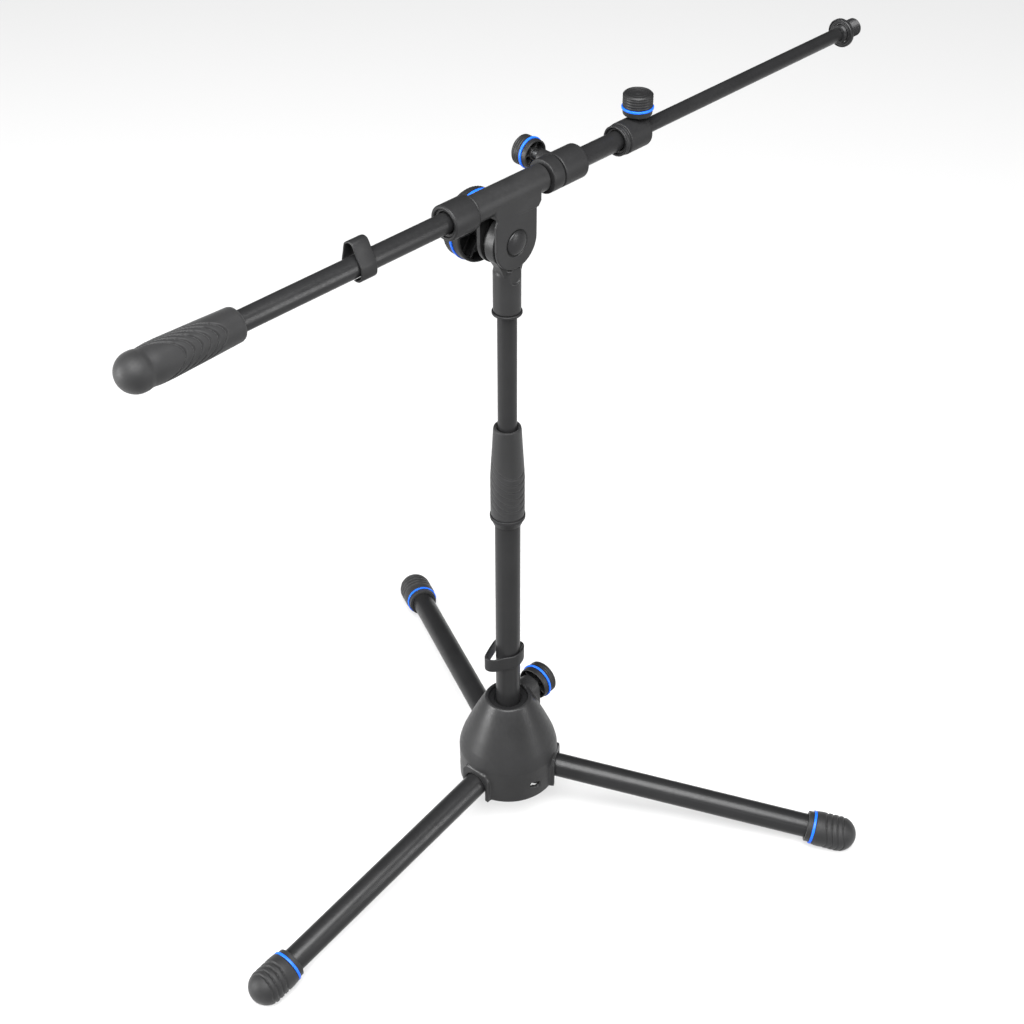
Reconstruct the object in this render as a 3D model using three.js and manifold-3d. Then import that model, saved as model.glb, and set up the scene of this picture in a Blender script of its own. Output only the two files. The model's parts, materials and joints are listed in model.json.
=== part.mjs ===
// A short boom microphone stand: a folding three-leg base, a telescopic mast with a twist clutch,
// a tilting head and a two-piece boom with a 5/8 inch thread at its tip.
// Millimetres, +Z up. While it is built, the floor is Z = 0, the mast axis is the Z axis and the boom
// points along +X. The last lines move the stand so that its origin is at the bottom centre of its box.
import * as THREE from 'three';
import { mergeVertices } from 'three/addons/utils/BufferGeometryUtils.js';
import Module from 'manifold-3d';

const wasm = await Module();
wasm.setup();

// ---------------------------------------------------------------- driving dimensions
const GAP = 0.3; // clearance between two pieces that touch or slide
const WIDE_GAP = 0.4; // clearance round a screw
const SIDES = 20; // facets round the larger turned pieces
const KNOB_SIDES = 16; // facets round the small clamp knobs
const FEW_SIDES = 8; // facets round screws, pins and pads

const LEG_TUBE = { radius: 11, bore: 9.5 };
const LOWER_TUBE = { radius: 11, bore: 9.5 };
const UPPER_TUBE = { radius: 8, bore: 6.7 };
const BOOM_TUBE = { radius: 8, bore: 7 };
const EXTENSION_TUBE = { radius: 6, bore: 5 };

// heights above the floor, on the mast axis
const APEX_Z = 62; // the three leg axes meet here
const HUB_BOTTOM_Z = 41;
const HUB_TOP_Z = 135;
const BASE_KNOB_Z = 125;
const MAST_CLIP_Z = 185;
const MAST_CLIP_WIDTH = 14;
const MAST_CLIP_TURN = -45.9; // degrees from the boom to the clip's own X
const MAST_CLIP_SLOPE = 0.1; // it sits a little askew on the mast
const LOWER_TUBE_BOTTOM_Z = 54;
const CLUTCH_BOTTOM_Z = 336;
const LOWER_TUBE_TOP_Z = 385;
const CLUTCH_TOP_Z = 434;
const UPPER_TUBE_BOTTOM_Z = 170;
const SOCKET_BOTTOM_Z = 542.5;
const UPPER_TUBE_TOP_Z = 572;
const PIVOT_Z = 608;
const BOOM_Z = 646;

// legs
const LEG_COUNT = 3;
const LEG_SLOPE = THREE.MathUtils.degToRad(8.3); // below the horizontal
const FIRST_LEG_AZIMUTH = 63; // degrees from the boom
const BASE_KNOB_AZIMUTH = 3;
const HINGE_REACH = 32; // mast axis to hinge pin, along the leg
const LEG_TUBE_START = 40;
const LEG_TUBE_END = 316;
const BOOT_START = 286;
const BOOT_DOME_CENTRE = 316.2;
const BOOT_RADIUS = 16.3;
const SOLE_DEPTH = 0.8; // the boots are worn flat by this much
const KNUCKLE_RADIUS = 8.4; // the rounded hinge end of a leg
const PIN_RADIUS = 3;
const LEG_SLOT_HALF = 11.7; // half the width of the opening that a leg swings in
const EAR_HALF = 15.5; // half the width over the two ears that carry a hinge pin
const EAR_REACH = 46.6;
const LEG_SLOT_TOP_Z = 68.8;
const PIN_SLOT = { half: 2.6, tilt: 0.4 }; // the sloping slot beside each pin

// along the boom, from the mast axis
const GRIP_END_X = -357;
const GRIP_START_X = -259.5;
const BOOM_TUBE_REAR_X = -345;
const BOOM_TUBE_FRONT_X = 137;
const BOOM_CLIP_X = -148;
const BOOM_CLIP_WIDTH = 15;
const REAR_COLLAR = { from: -66, to: -40.3, radius: 14 };
const SLEEVE = { from: -40.3, to: 37, radius: 11 };
const CLAMP_RING = { from: 38.2, to: 50.2, radius: 14 };
const FRONT_COLLAR = { from: 51.4, to: 77, radius: 14 };
const SLIDE_KNOB_X = 62;
const EXTENSION_COLLAR = { from: 122, to: 153, radius: 13.2 };
const EXTENSION_BUSH = { from: 137.6, to: 143.8, radius: 8 };
const EXTENSION_KNOB_X = 148;
const EXTENSION_TUBE_REAR_X = 40;
const EXTENSION_TUBE_TIP_X = 415;
const LOCK_NUT = { from: 419.5, to: 424, radius: 12.6 };
const STUD_TIP_X = 441;
const STUD_RADIUS = 7.94; // 5/8 inch thread

// the tilt joint, across the boom: +Y is the tilt knob's side
const FRONT_CHEEK = { from: -11, to: -8.4 };
const FRONT_WASHER = { from: -8.1, to: -7.1 };
const HEAD_DISC = { from: -6.8, to: 2.4 };
const REAR_WASHER = { from: 2.7, to: 6.7 };
const REAR_CHEEK = { from: 7, to: 11 };
const HEAD_DISC_RADIUS = 22.3;
const CHEEK_RADIUS = 22;
const CHEEK_ROOM = 22.6; // the cheeks swing through this radius round the pivot
const PIVOT_BOLT_RADIUS = 4;
const PIVOT_CAP_RADIUS = 10; // the cap sits in a round recess in the front cheek
const PIVOT_RECESS = { radius: 11, floor: -9.9 };
const TILT_KNOB = { from: 24, to: 43, radius: 28.4, ringAt: 33 };

// clamp knobs, measured outward from the axis of the tube that each one clamps
const SMALL_KNOB = { radius: 12.2, ringRadius: 13, ringAfter: 5.5, length: 16 };
const TALL_KNOB = { ...SMALL_KNOB, length: 17.6 };
const LARGE_KNOB = { radius: 15.8, ringRadius: 16.7, ringAfter: 6.6, length: 16.4 };
const SCREW_RADIUS = 3;
const BASE_KNOB_MOUTH = 34.3;
const SLIDE_KNOB_MOUTH = 29;
const EXTENSION_KNOB_MOUTH = 15.5;

// ---------------------------------------------------------------- materials
const material = (color, roughness, metalness = 0) =>
  new THREE.MeshStandardMaterial({ color, roughness, metalness });
const finishes = {
  powderCoat: material(0x232324, 0.42, 0.3),
  casting: material(0x262627, 0.5, 0.25),
  plastic: material(0x1d1d1e, 0.55),
  rubber: material(0x151516, 0.8),
  blue: material(0x1f6fe0, 0.45),
  steel: material(0x8b8d90, 0.35, 1),
  blackSteel: material(0x202022, 0.35, 0.8),
  nylon: material(0x101011, 0.6),
};

// ---------------------------------------------------------------- shape helpers
function toSolid(geometry) {
  const bare = geometry.clone();
  bare.deleteAttribute('normal');
  bare.deleteAttribute('uv');
  const merged = mergeVertices(bare, 1e-4);
  const corners = merged.index.array;
  const vertices = merged.attributes.position.array;
  const flipped = signedVolume(vertices, corners) < 0;
  const triVerts = new Uint32Array(corners.length);
  for (let i = 0; i < corners.length; i += 3) {
    triVerts[i] = corners[i];
    triVerts[i + 1] = corners[i + (flipped ? 2 : 1)];
    triVerts[i + 2] = corners[i + (flipped ? 1 : 2)];
  }
  const vertProperties = new Float32Array(vertices);
  return new wasm.Manifold(new wasm.Mesh({ numProp: 3, vertProperties, triVerts }));
}

function signedVolume(vertices, corners) {
  const point = (i) => new THREE.Vector3().fromArray(vertices, 3 * corners[i]);
  let volume = 0;
  for (let i = 0; i < corners.length; i += 3) {
    volume += point(i).dot(point(i + 1).cross(point(i + 2))) / 6;
  }
  return volume;
}

function toGeometry(solid) {
  const { numProp, vertProperties, triVerts } = solid.getMesh();
  const positions = new Float32Array((vertProperties.length / numProp) * 3);
  for (let i = 0; i < positions.length / 3; i += 1) {
    positions.set(vertProperties.subarray(i * numProp, i * numProp + 3), i * 3);
  }
  const geometry = new THREE.BufferGeometry();
  geometry.setAttribute('position', new THREE.BufferAttribute(positions, 3));
  geometry.setIndex(new THREE.BufferAttribute(new Uint32Array(triVerts), 1));
  geometry.computeVertexNormals();
  return geometry;
}

// One solid: the first geometries joined together, less every geometry in the second list.
function carved(bodies, tools = []) {
  const joined = bodies.map(toSolid).reduce((whole, next) => whole.add(next));
  const result = tools.map(toSolid).reduce((whole, next) => whole.subtract(next), joined);
  return toGeometry(result);
}

// A solid of revolution about Z from [radius, height] points. A profile that touches the axis starts
// and ends on it, and any other one is closed into a ring.
function turned(profile, sides = SIDES) {
  const points = profile.map(([radius, height]) => new THREE.Vector2(radius, height));
  const touchesAxis = profile[0][0] === 0;
  if (!touchesAxis) points.push(points[0].clone());
  return toGeometry(toSolid(new THREE.LatheGeometry(points, sides).rotateX(Math.PI / 2)));
}

const ring = (outer, inner, from, to, sides = SIDES) =>
  turned([[inner, from], [outer, from], [outer, to], [inner, to]], sides);

const rod = (radius, from, to, sides = SIDES) =>
  turned([[0, from], [radius, from], [radius, to], [0, to]], sides);

const box = (x, y, z) => {
  const size = [x, y, z].map(([low, high]) => high - low);
  const centre = [x, y, z].map(([low, high]) => (low + high) / 2);
  return new THREE.BoxGeometry(...size).translate(...centre);
};

// An outline drawn in the XZ plane and carried along Y from one value to another.
function plate(shape, from, to, curveSegments = 8) {
  const slab = new THREE.ExtrudeGeometry(shape, { depth: to - from, bevelEnabled: false, curveSegments });
  return slab.rotateX(Math.PI / 2).translate(0, to, 0);
}

const alongX = (geometry) => geometry.clone().rotateY(Math.PI / 2);
const alongY = (geometry) => geometry.clone().rotateX(-Math.PI / 2);

function named(name, geometry, finish) {
  const piece = new THREE.Mesh(geometry, finishes[finish]);
  piece.name = name;
  return piece;
}

function placed(position, rotation, ...children) {
  const group = new THREE.Group();
  group.position.set(...position);
  group.rotation.set(...rotation);
  group.add(...children);
  return group;
}

const azimuths = Array.from({ length: LEG_COUNT }, (_, i) =>
  THREE.MathUtils.degToRad(FIRST_LEG_AZIMUTH + (360 / LEG_COUNT) * i));
const LEG_NAMES = ['back', 'left', 'right'];

// A leg's own frame has Z out along the leg, Y level and across it, and X downward.
const inLegFrame = (azimuth, ...children) =>
  placed([0, 0, APEX_Z], [0, 0, azimuth], placed([0, 0, 0], [0, Math.PI / 2 + LEG_SLOPE, 0], ...children));

// ---------------------------------------------------------------- hub
// The housing is a thin bell with a tube down its middle, which holds the guide bush.
const BUSH = { radius: 14.7, rimRadius: 17.7, bottom: 80, seat: 131, rimTop: 133.6 };
const HUB_OUTER = [
  [44, HUB_BOTTOM_Z], [45.2, 42.5], [45.7, 76], [44.3, 82.5], [40.5, 94], [34, 109], [27.6, 122.5],
  [21, HUB_TOP_Z - 0.8], [20, HUB_TOP_Z],
];
const HUB_INNER = [
  [18, HUB_TOP_Z], [18, BUSH.seat], [15, BUSH.seat], [15, 60], [17.6, 60], [17.6, 118], [25.6, 118],
  [36.2, 94], [41.9, 76], [41.9, HUB_BOTTOM_Z],
];
// the arch on the housing that the base knob's screw goes through
const BOSS = { radius: 11.5, from: 15.5, reach: 32.6, foot: 105 };

function hubHousing() {
  const reach = HINGE_REACH * Math.cos(LEG_SLOPE);
  const hingeZ = APEX_Z - HINGE_REACH * Math.sin(LEG_SLOPE);
  const bodies = [turned([...HUB_OUTER, ...HUB_INNER])];
  const tools = [];
  const knobTurn = THREE.MathUtils.degToRad(BASE_KNOB_AZIMUTH);
  const arch = alongX(rod(BOSS.radius, BOSS.from, BOSS.reach)).translate(0, 0, BASE_KNOB_Z);
  const foot = box([BOSS.from, BOSS.reach], [-BOSS.radius, BOSS.radius], [BOSS.foot, BASE_KNOB_Z]);
  const screwHole = alongX(rod(SCREW_RADIUS + WIDE_GAP, 12, 45, FEW_SIDES)).translate(0, 0, BASE_KNOB_Z);
  bodies.push(arch.rotateZ(knobTurn), foot.rotateZ(knobTurn));
  tools.push(screwHole.rotateZ(knobTurn));
  for (const azimuth of azimuths) {
    for (const span of [[-EAR_HALF, -LEG_SLOT_HALF], [LEG_SLOT_HALF, EAR_HALF]]) {
      bodies.push(box([16.5, EAR_REACH], span, [HUB_BOTTOM_Z, 71]).rotateZ(azimuth));
    }
    bodies.push(box([40, EAR_REACH], [-13, 13], [LEG_SLOT_TOP_Z, 72.5]).rotateZ(azimuth));
    const legSlot = box([19, 50], [-LEG_SLOT_HALF, LEG_SLOT_HALF], [HUB_BOTTOM_Z - 5, LEG_SLOT_TOP_Z]);
    const pinHole = alongY(rod(PIN_RADIUS + GAP, -30, 16, FEW_SIDES)).translate(reach, 0, hingeZ);
    const pinSlot = box([28, 60], [-60, -28], [-PIN_SLOT.half, PIN_SLOT.half]).translate(-reach, 0, 0)
      .rotateY(PIN_SLOT.tilt).translate(reach, 0, hingeZ);
    tools.push(legSlot.rotateZ(azimuth), pinHole.rotateZ(azimuth), pinSlot.rotateZ(azimuth));
  }
  tools.push(rod(15, 50, BUSH.seat + 0.1), rod(18, BUSH.seat, HUB_TOP_Z + 15));
  return named('hub_housing', carved(bodies, tools), 'casting');
}

function mastGuideBush() {
  const { radius, rimRadius, bottom, seat, rimTop } = BUSH;
  const bore = LOWER_TUBE.radius + GAP;
  const bush = turned([
    [bore, bottom], [radius, bottom], [radius, seat + GAP], [rimRadius, seat + GAP], [rimRadius, rimTop],
    [bore, rimTop],
  ]);
  const screwHole = alongX(rod(SCREW_RADIUS + 0.5, 8, 20, FEW_SIDES)).translate(0, 0, BASE_KNOB_Z);
  const hole = screwHole.rotateZ(THREE.MathUtils.degToRad(BASE_KNOB_AZIMUTH));
  return named('mast_guide_bush', carved([bush], [hole]), 'nylon');
}

// ---------------------------------------------------------------- legs
function legPieces(name) {
  const dome = Array.from({ length: 5 }, (_, i) => (Math.PI / 2) * (i / 4))
    .map((turn) => [BOOT_RADIUS * Math.cos(turn), BOOT_DOME_CENTRE + BOOT_RADIUS * Math.sin(turn)]);
  dome[dome.length - 1][0] = 0;
  const bore = [[0, LEG_TUBE_END + GAP], [LEG_TUBE.radius + GAP, LEG_TUBE_END + GAP]];
  const boot = turned([
    ...bore, [LEG_TUBE.radius + GAP, BOOT_START], [14.2, BOOT_START], [14.2, BOOT_START + 7.2],
    [15.6, BOOT_START + 7.4], [16.1, BOOT_START + 12], ...dome,
  ]);
  const sole = box([BOOT_START - 20, BOOT_DOME_CENTRE + 40], [-60, 60], [-60, SOLE_DEPTH])
    .translate(0, 0, -APEX_Z).rotateY(-Math.PI / 2 - LEG_SLOPE);
  const knuckle = new THREE.Shape();
  knuckle.absarc(0, 0, KNUCKLE_RADIUS, Math.PI / 2, -Math.PI / 2, true);
  knuckle.lineTo(-7.6, -KNUCKLE_RADIUS);
  knuckle.lineTo(-7.6, KNUCKLE_RADIUS);
  const block = plate(knuckle, -10.9, 10.9).rotateY(Math.PI / 2).translate(0, 0, HINGE_REACH);
  const stem = rod(LEG_TUBE.bore - GAP, LEG_TUBE_START - 2, LEG_TUBE_START + 22);
  const pinHole = alongY(rod(PIN_RADIUS + GAP, -20, 20, FEW_SIDES)).translate(0, 0, HINGE_REACH);
  const tube = ring(LEG_TUBE.radius, LEG_TUBE.bore, LEG_TUBE_START, LEG_TUBE_END);
  return [
    named(`leg_tube_${name}`, tube, 'powderCoat'),
    named(`leg_hinge_block_${name}`, carved([block, stem], [pinHole]), 'plastic'),
    named(`leg_boot_${name}`, carved([boot], [sole]), 'rubber'),
    named(`boot_ring_${name}`, ring(15.6, 14.5, BOOT_START + 4.6, BOOT_START + 6.9), 'blue'),
  ];
}

const hingePin = (name) => {
  const pin = alongY(rod(PIN_RADIUS, 0.5 - EAR_HALF, EAR_HALF - 0.8, FEW_SIDES));
  return named(`hinge_pin_${name}`, pin.translate(0, 0, HINGE_REACH), 'steel');
};

function legs() {
  return azimuths.map((azimuth, i) =>
    inLegFrame(azimuth, ...legPieces(LEG_NAMES[i]), hingePin(LEG_NAMES[i])));
}

// ---------------------------------------------------------------- knobs
// A clamp knob along its own Z, with a coloured ring, its screw, and the pad that the screw pushes.
function clampKnob(prefix, size, mouth, padAt) {
  const { radius, ringRadius, ringAfter, length } = size;
  const ringAt = mouth + ringAfter;
  const end = mouth + length;
  const groove = radius - 1.1;
  const cup = turned([
    [0, end - 3], [SCREW_RADIUS + GAP, end - 3], [SCREW_RADIUS + GAP, mouth + 1], [5, mouth + 1],
    [5.4, mouth + 8.5], [radius - 1.8, mouth + 8.5],
    [radius - 1.8, mouth], [radius - 0.5, mouth], [radius, ringAt - 1.2],
    [groove, ringAt - 1.2], [groove, ringAt + 1.2], [radius, ringAt + 1.2], [radius, end - 1.4],
    [radius - 1.4, end], [0, end],
  ], KNOB_SIDES);
  const collar = ring(ringRadius, groove + GAP, ringAt - 0.9, ringAt + 0.9, KNOB_SIDES);
  return [
    named(`${prefix}_knob`, cup, 'plastic'),
    named(`${prefix}_knob_ring`, collar, 'blue'),
    named(`${prefix}_clamp_screw`, rod(SCREW_RADIUS, padAt + 2.3, end - 3 - GAP, FEW_SIDES), 'steel'),
    named(`${prefix}_clamp_pad`, rod(SCREW_RADIUS, padAt, padAt + 2, FEW_SIDES), 'nylon'),
  ];
}

const baseKnob = () => placed(
  [0, 0, BASE_KNOB_Z], [0, 0, THREE.MathUtils.degToRad(BASE_KNOB_AZIMUTH)],
  placed([0, 0, 0], [0, Math.PI / 2, 0],
    ...clampKnob('base', LARGE_KNOB, BASE_KNOB_MOUTH, LOWER_TUBE.radius + GAP)),
);
const slideKnob = () => placed(
  [SLIDE_KNOB_X, 0, BOOM_Z], [-Math.PI / 2, 0, 0],
  ...clampKnob('slide', SMALL_KNOB, SLIDE_KNOB_MOUTH, BOOM_TUBE.radius + GAP),
);
const extensionKnob = () => placed(
  [EXTENSION_KNOB_X, 0, BOOM_Z], [0, 0, 0],
  ...clampKnob('extension', TALL_KNOB, EXTENSION_KNOB_MOUTH, EXTENSION_TUBE.radius + GAP),
);

// ---------------------------------------------------------------- cable clips
// A cable clip is one bent spring strip. Each line is the middle of the strip round a tube at (0, 0): it
// starts at the loop's free end, goes round the loop and along the tube's near side, and ends in a lip.
const MAST_CLIP_LINE = [
  [-11.5, 13.6], [-16.2, 3.3], [-20.2, -7.2], [-20, -9.5], [-19.1, -11.4], [-16.3, -13.5], [-12.6, -14.3],
  [-8.7, -14.1], [-5.4, -13.1], [-0.4, -12.3], [5, -11.3], [8.9, -8.6], [11.4, -4.9], [13.1, -0.8],
  [13.7, 3.8], [12.6, 6.8], [11.1, 8.9],
];
const BOOM_CLIP_LINE = [
  [-10.7, 1.6], [-8.9, 8.6], [-7.3, 15.8], [-6.1, 17.4], [-2.6, 18.9], [0.5, 18.3], [2.5, 15.5],
  [4.9, 10.4], [7.3, 6], [9, 2.8], [9.5, 0], [9.6, -3], [8.9, -6.2], [6.1, -9], [1.2, -9.8],
];
const CLIP_THICKNESS = 1.6;

// The strip runs along Z for its whole width, and its edges rise towards +X by the given slope.
function cableClip(line, width, slope = 0) {
  const centreLine = new THREE.SplineCurve(line.map((point) => new THREE.Vector2(...point)))
    .getPoints(line.length * 2 - 2);
  const outline = new THREE.Shape(bothSides(centreLine, CLIP_THICKNESS / 2));
  const strip = new THREE.ExtrudeGeometry(outline, { depth: width, bevelEnabled: false });
  const shear = new THREE.Matrix4().makeShear(0, slope, 0, 0, 0, 0);
  return toGeometry(toSolid(strip.translate(0, 0, -width / 2).applyMatrix4(shear)));
}

// The outline of a strip: its centre line moved out to one side, and back along the other side.
function bothSides(centreLine, half) {
  const normals = centreLine.map((_, i) => {
    const before = centreLine[Math.max(i - 1, 0)];
    const after = centreLine[Math.min(i + 1, centreLine.length - 1)];
    const direction = after.clone().sub(before).normalize();
    return new THREE.Vector2(-direction.y, direction.x);
  });
  const side = (sign) => centreLine.map((p, i) => p.clone().addScaledVector(normals[i], sign * half));
  return [...side(1), ...side(-1).reverse()];
}

// ---------------------------------------------------------------- mast and clutch
function lowerMast() {
  const plug = turned([
    [0, 46], [10.4, 46], [LOWER_TUBE.radius, 47], [LOWER_TUBE.radius, LOWER_TUBE_BOTTOM_Z - GAP],
    [LOWER_TUBE.bore - GAP, LOWER_TUBE_BOTTOM_Z - GAP], [LOWER_TUBE.bore - GAP, 62], [0, 62],
  ]);
  const clutchSleeve = turned([
    [LOWER_TUBE.radius + GAP, CLUTCH_BOTTOM_Z], [12.4, CLUTCH_BOTTOM_Z], [14.4, CLUTCH_BOTTOM_Z + 5.5],
    [15.2, CLUTCH_BOTTOM_Z + 6], [15.2, CLUTCH_BOTTOM_Z + 9], [12.5, CLUTCH_BOTTOM_Z + 9.2],
    [12.5, LOWER_TUBE_TOP_Z + 6], [UPPER_TUBE.radius + GAP, LOWER_TUBE_TOP_Z + 6],
    [UPPER_TUBE.radius + GAP, LOWER_TUBE_TOP_Z + GAP], [LOWER_TUBE.radius + GAP, LOWER_TUBE_TOP_Z + GAP],
  ]);
  const tube = ring(LOWER_TUBE.radius, LOWER_TUBE.bore, LOWER_TUBE_BOTTOM_Z, LOWER_TUBE_TOP_Z);
  return [
    named('lower_mast_tube', tube, 'powderCoat'),
    named('mast_end_plug', plug, 'plastic'),
    named('clutch_sleeve', clutchSleeve, 'plastic'),
  ];
}

const mastClip = () => placed(
  [0, 0, MAST_CLIP_Z], [0, 0, THREE.MathUtils.degToRad(MAST_CLIP_TURN)],
  named('mast_cable_clip', cableClip(MAST_CLIP_LINE, MAST_CLIP_WIDTH, MAST_CLIP_SLOPE), 'plastic'),
);

function clutchGrip() {
  const from = CLUTCH_BOTTOM_Z + 9.2 + GAP;
  const seat = LOWER_TUBE_TOP_Z + 6.3;
  const grip = turned([
    [12.8, from], [14.2, from], [14.5, from + 4], [14.5, from + 40], [13.4, 408], [11.9, CLUTCH_TOP_Z - 2],
    [11.4, CLUTCH_TOP_Z], [9.4, CLUTCH_TOP_Z], [9.4, CLUTCH_TOP_Z - 4], [10.6, CLUTCH_TOP_Z - 6],
    [11.1, seat], [12.8, seat],
  ]);
  return named('clutch_grip', grip, 'rubber');
}

function clutchCollet() {
  const collet = turned([
    [UPPER_TUBE.radius + GAP, LOWER_TUBE_TOP_Z + 7], [10.8, LOWER_TUBE_TOP_Z + 7],
    [10.2, CLUTCH_TOP_Z - 7], [9.1, CLUTCH_TOP_Z - 5], [9.1, CLUTCH_TOP_Z - 2],
    [UPPER_TUBE.radius + GAP, CLUTCH_TOP_Z - 2],
  ]);
  const slot = box([5, 15], [-0.8, 0.8], [LOWER_TUBE_TOP_Z, CLUTCH_TOP_Z]);
  return named('clutch_collet', carved([collet], [slot]), 'nylon');
}

function upperMast() {
  const bore = UPPER_TUBE.radius + GAP;
  const floor = UPPER_TUBE_BOTTOM_Z - GAP;
  const cap = turned([
    [0, UPPER_TUBE_BOTTOM_Z - 4], [9.2, UPPER_TUBE_BOTTOM_Z - 4], [9.2, UPPER_TUBE_BOTTOM_Z + 24],
    [bore, UPPER_TUBE_BOTTOM_Z + 24], [bore, floor], [0, floor],
  ]);
  const tube = ring(UPPER_TUBE.radius, UPPER_TUBE.bore, UPPER_TUBE_BOTTOM_Z, UPPER_TUBE_TOP_Z);
  return [
    named('upper_mast_tube', tube, 'powderCoat'),
    named('upper_tube_glide', cap, 'nylon'),
  ];
}

// ---------------------------------------------------------------- head and tilt joint
function headYoke() {
  const socket = turned([
    [UPPER_TUBE.radius + GAP, SOCKET_BOTTOM_Z + 2.5], [11.2, SOCKET_BOTTOM_Z + 2.5], [11.2, 581], [9, 586],
    [0, 586], [0, UPPER_TUBE_TOP_Z + GAP], [UPPER_TUBE.radius + GAP, UPPER_TUBE_TOP_Z + GAP],
  ]);
  const blade = new THREE.Shape();
  const side = HEAD_DISC_RADIUS * Math.cos(0.45);
  const low = -HEAD_DISC_RADIUS * Math.sin(0.45);
  blade.moveTo(-8.8, -33);
  blade.lineTo(8.8, -33);
  blade.quadraticCurveTo(11.5, -21, side, low);
  blade.absarc(0, 0, HEAD_DISC_RADIUS, -0.45, Math.PI + 0.45, false);
  blade.quadraticCurveTo(-11.5, -21, -8.8, -33);
  const disc = plate(blade, HEAD_DISC.from, HEAD_DISC.to).translate(0, 0, PIVOT_Z);
  const rearRoom = box([-30, 30], [HEAD_DISC.to, 30], [PIVOT_Z - CHEEK_ROOM, PIVOT_Z + 30]);
  const frontRoom = box([-30, 30], [-30, HEAD_DISC.from], [PIVOT_Z - CHEEK_ROOM, PIVOT_Z + 30]);
  const scoop = alongY(rod(9, -20, 0)).scale(1, 1, 1.3).translate(0, -9.2, PIVOT_Z - 24);
  const boltHole = alongY(rod(PIVOT_BOLT_RADIUS + GAP, -20, 30)).translate(0, 0, PIVOT_Z);
  return named('head_yoke', carved([socket, disc], [rearRoom, frontRoom, scoop, boltHole]), 'casting');
}

const socketRim = () => {
  const inner = UPPER_TUBE.radius + GAP;
  return named('socket_rim', ring(12.3, inner, SOCKET_BOTTOM_Z, SOCKET_BOTTOM_Z + 2.2), 'plastic');
};

const frictionWasher = (name, span) => {
  const washer = ring(HEAD_DISC_RADIUS - 3, PIVOT_BOLT_RADIUS + GAP, span.from, span.to);
  return named(name, alongY(washer).translate(0, 0, PIVOT_Z), 'nylon');
};

function pivotBolt() {
  const bolt = turned([
    [0, FRONT_CHEEK.from - 2.4], [5, FRONT_CHEEK.from - 1.9], [8.6, FRONT_CHEEK.from - 0.6],
    [PIVOT_CAP_RADIUS, PIVOT_RECESS.floor - GAP], [PIVOT_BOLT_RADIUS, PIVOT_RECESS.floor - GAP],
    [PIVOT_BOLT_RADIUS, TILT_KNOB.to - 6], [0, TILT_KNOB.to - 6],
  ]);
  return named('pivot_bolt', alongY(bolt).translate(0, 0, PIVOT_Z), 'blackSteel');
}

function tiltKnob() {
  const { from, to, radius, ringAt } = TILT_KNOB;
  const groove = radius - 1.4;
  const bore = PIVOT_BOLT_RADIUS + GAP;
  const boss = REAR_CHEEK.to + GAP;
  const cup = turned([
    [0, to - 5.5], [bore, to - 5.5], [bore, boss], [8, boss], [8.6, from + 11], [25.6, from + 11],
    [26.4, from], [radius, from], [radius, ringAt - 1.5], [groove, ringAt - 1.5], [groove, ringAt + 1.5],
    [radius, ringAt + 1.5], [radius, to - 2], [radius - 2, to], [0, to],
  ], 24);
  const ribs = [0, 1, 2].map((i) =>
    alongY(box([-26, 26], [-1, 1], [from + 2, from + 11.5])).rotateY((Math.PI / 3) * i));
  const body = carved([alongY(cup), ...ribs], [alongY(rod(bore, boss - 1, to - 5.5))]);
  const collar = alongY(ring(radius + 0.7, groove + GAP, ringAt - 1.2, ringAt + 1.2, 24));
  return placed([0, 0, PIVOT_Z], [0, 0, 0],
    named('tilt_knob', body, 'plastic'), named('tilt_knob_ring', collar, 'blue'));
}

// ---------------------------------------------------------------- boom sleeve
function cheekShape(halfWidth) {
  const top = BOOM_Z - PIVOT_Z;
  const shape = new THREE.Shape();
  shape.moveTo(halfWidth, top);
  shape.lineTo(-halfWidth, top);
  shape.lineTo(-CHEEK_RADIUS, top - 13);
  shape.absarc(0, 0, CHEEK_RADIUS, Math.PI, 2 * Math.PI, false);
  shape.lineTo(CHEEK_RADIUS, top - 15);
  shape.lineTo(halfWidth, top - 13);
  return shape;
}

function boomSleeve() {
  const cheeks = [FRONT_CHEEK, REAR_CHEEK].map((cheek) =>
    plate(cheekShape(27), cheek.from, cheek.to, 10).translate(0, 0, PIVOT_Z));
  const web = box([-18, 18], [FRONT_CHEEK.from, REAR_CHEEK.to], [PIVOT_Z + HEAD_DISC_RADIUS + 2, BOOM_Z]);
  const barrel = alongX(rod(SLEEVE.radius, SLEEVE.from, SLEEVE.to)).translate(0, 0, BOOM_Z);
  const bore = alongX(rod(9.3, SLEEVE.from - 1, SLEEVE.to + 1)).translate(0, 0, BOOM_Z);
  const boltHole = alongY(rod(PIVOT_BOLT_RADIUS + GAP, -20, 30)).translate(0, 0, PIVOT_Z);
  const recess = alongY(rod(PIVOT_RECESS.radius, -20, PIVOT_RECESS.floor)).translate(0, 0, PIVOT_Z);
  return named('boom_sleeve', carved([barrel, web, ...cheeks], [bore, boltHole, recess]), 'casting');
}

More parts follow.
